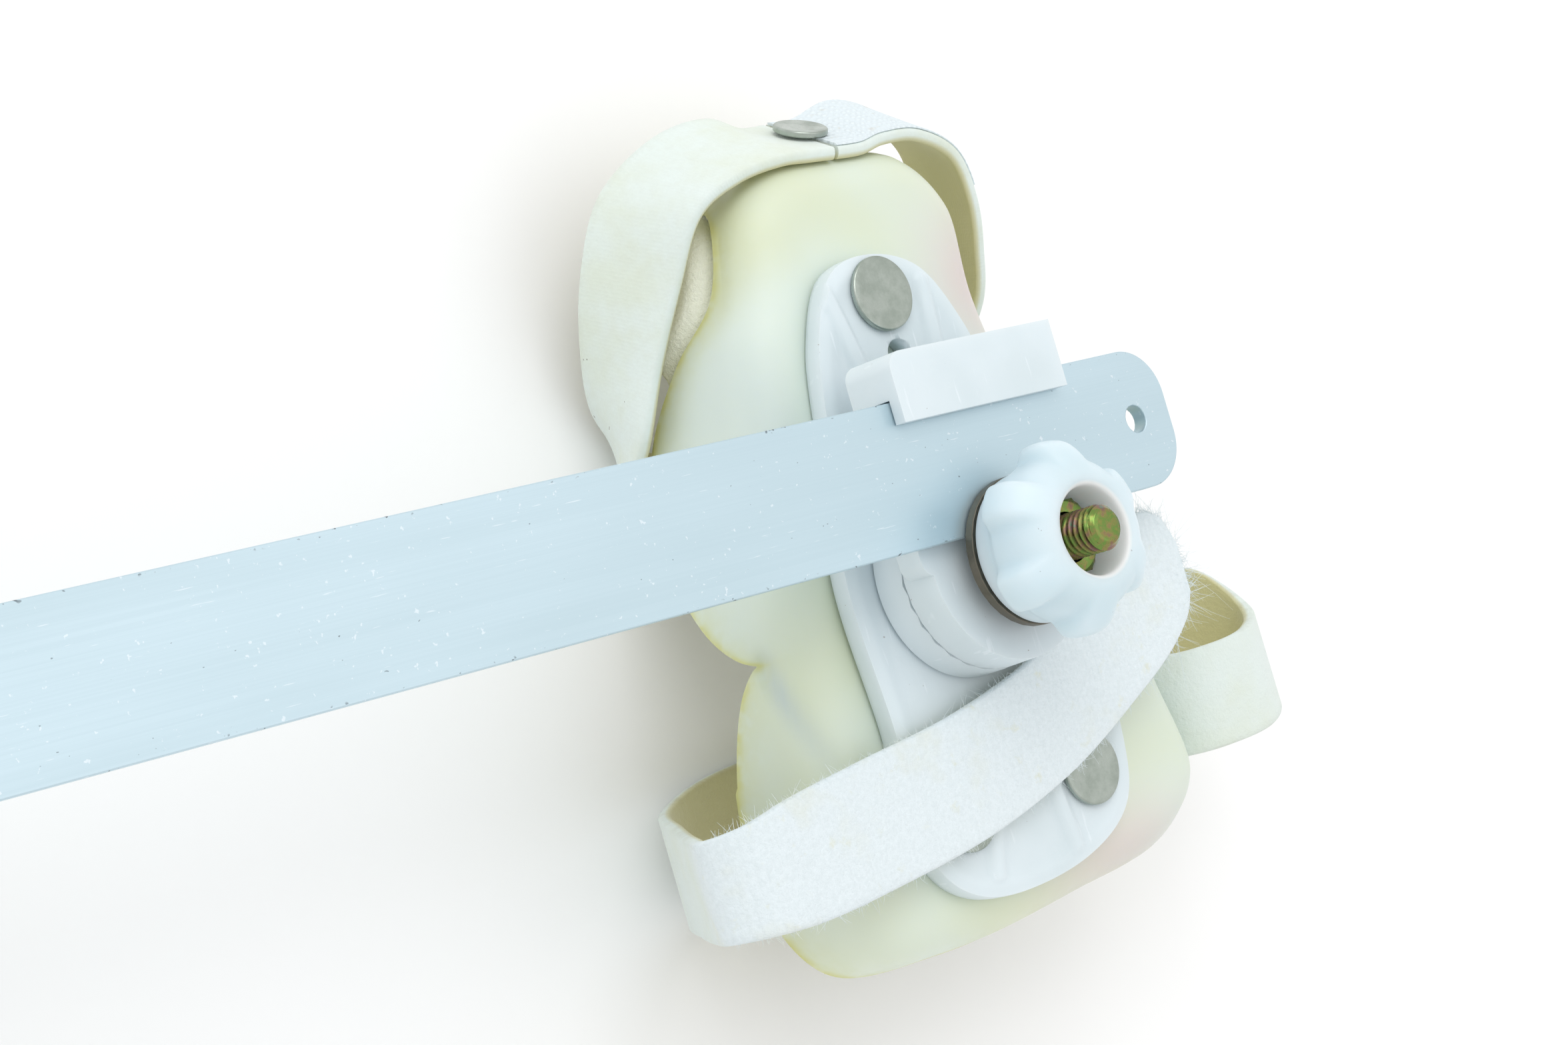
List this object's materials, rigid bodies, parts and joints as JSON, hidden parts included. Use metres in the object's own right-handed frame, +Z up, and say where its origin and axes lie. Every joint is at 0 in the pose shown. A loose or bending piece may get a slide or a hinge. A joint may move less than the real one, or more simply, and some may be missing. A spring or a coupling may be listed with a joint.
{
  "type": "foot abduction brace",
  "caption": "Flat aluminium bar with a child's moulded sandal clamped at each end by a jaw and star knob, with riveted sole plates, liners and straps",
  "frame": {"origin": "on the surface that the brace lies on, under the middle of its box", "axes": "+X along the bar, +Y from the toes to the heels, +Z up out of the soles: the brace lies sole side up"},
  "size_m": [0.4586, 0.1552, 0.0892],
  "materials": {
    "bar_aluminium": "brushed along its length, with fine scratches",
    "shell_plastic": "cream, smooth, slightly waxy",
    "liner_felt": "pale soft felt",
    "white_plastic": "milky white moulding",
    "rivet_nickel": "plain nickel plate",
    "yellow_zinc": "yellow passivated zinc",
    "washer_steel": "dull steel",
    "heel_webbing": "off-white strap",
    "forefoot_webbing": "white loop pile"
  },
  "bodies": {
    "bar": {"bar": "bar_aluminium"},
    "clamp_right": {"hub_jaw_right": "white_plastic", "washer_right": "washer_steel"},
    "clamp_left": {"hub_jaw_left": "white_plastic", "washer_left": "washer_steel"},
    "sandal_right": {"shell_right": "shell_plastic", "liner_right": "liner_felt", "sole_plate_right": "white_plastic", "heel_rivet_right": "rivet_nickel", "toe_outer_rivet_right": "rivet_nickel", "toe_inner_rivet_right": "rivet_nickel", "hub_base_right": "white_plastic", "screw_right": "yellow_zinc", "heel_strap_right": "heel_webbing", "heel_strap_rivet_right": "rivet_nickel", "forefoot_strap_right": "forefoot_webbing", "forefoot_strap_rivet_right": "rivet_nickel"},
    "sandal_left": {"shell_left": "shell_plastic", "liner_left": "liner_felt", "sole_plate_left": "white_plastic", "heel_rivet_left": "rivet_nickel", "toe_outer_rivet_left": "rivet_nickel", "toe_inner_rivet_left": "rivet_nickel", "hub_base_left": "white_plastic", "screw_left": "yellow_zinc", "heel_strap_left": "heel_webbing", "heel_strap_rivet_left": "rivet_nickel", "forefoot_strap_left": "forefoot_webbing", "forefoot_strap_rivet_left": "rivet_nickel"},
    "knob_right": {"knob_right": "white_plastic", "nut_right": "yellow_zinc"},
    "knob_left": {"knob_left": "white_plastic", "nut_left": "yellow_zinc"}
  },
  "joints": [
    {"name": "slide_right", "type": "slide", "parent": "bar", "child": "clamp_right", "axis": [1, 0, 0], "range_m": [-0.045, 0.02]},
    {"name": "slide_left", "type": "slide", "parent": "bar", "child": "clamp_left", "axis": [-1, 0, 0], "range_m": [-0.045, 0.02]},
    {"name": "swivel_right", "type": "hinge", "parent": "clamp_right", "child": "sandal_right", "pos_m": [0.14, -0.01378, 0.0577], "axis": [0, 0, 1], "range_deg": [0, 70]},
    {"name": "swivel_left", "type": "hinge", "parent": "clamp_left", "child": "sandal_left", "pos_m": [-0.14, -0.01378, 0.0577], "axis": [0, 0, -1], "range_deg": [0, 70]},
    {"name": "knob_turn_right", "type": "hinge", "parent": "sandal_right", "child": "knob_right", "pos_m": [0.14, -0.01378, 0.0795], "axis": [0, 0, 1], "continuous": true},
    {"name": "knob_turn_left", "type": "hinge", "parent": "sandal_left", "child": "knob_left", "pos_m": [-0.14, -0.01378, 0.0795], "axis": [0, 0, 1], "continuous": true}
  ]
}
